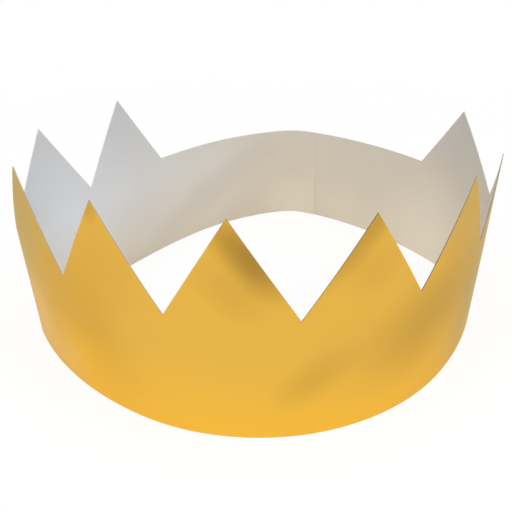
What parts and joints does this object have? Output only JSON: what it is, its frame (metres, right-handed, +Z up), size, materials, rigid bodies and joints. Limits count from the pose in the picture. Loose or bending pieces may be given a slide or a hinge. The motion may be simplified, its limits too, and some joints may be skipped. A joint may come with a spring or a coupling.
{
  "type": "paper crown",
  "caption": "Pointed crown made from one strip of thin gold-faced card, bent round into a ring and glued where its plain ends lap at the back.",
  "frame": {"origin": "under the middle of the crown's bounding box, on the surface that it stands on", "axes": "+Z up, front of the crown towards -Y, wearer's left towards +X"},
  "size_m": [0.205, 0.1834, 0.0903],
  "materials": {
    "gold_card": "satin gold foil on the outside, plain pale grey board on the inside"
  },
  "bodies": {
    "root": {"crown_band": "gold_card"}
  },
  "joints": []
}
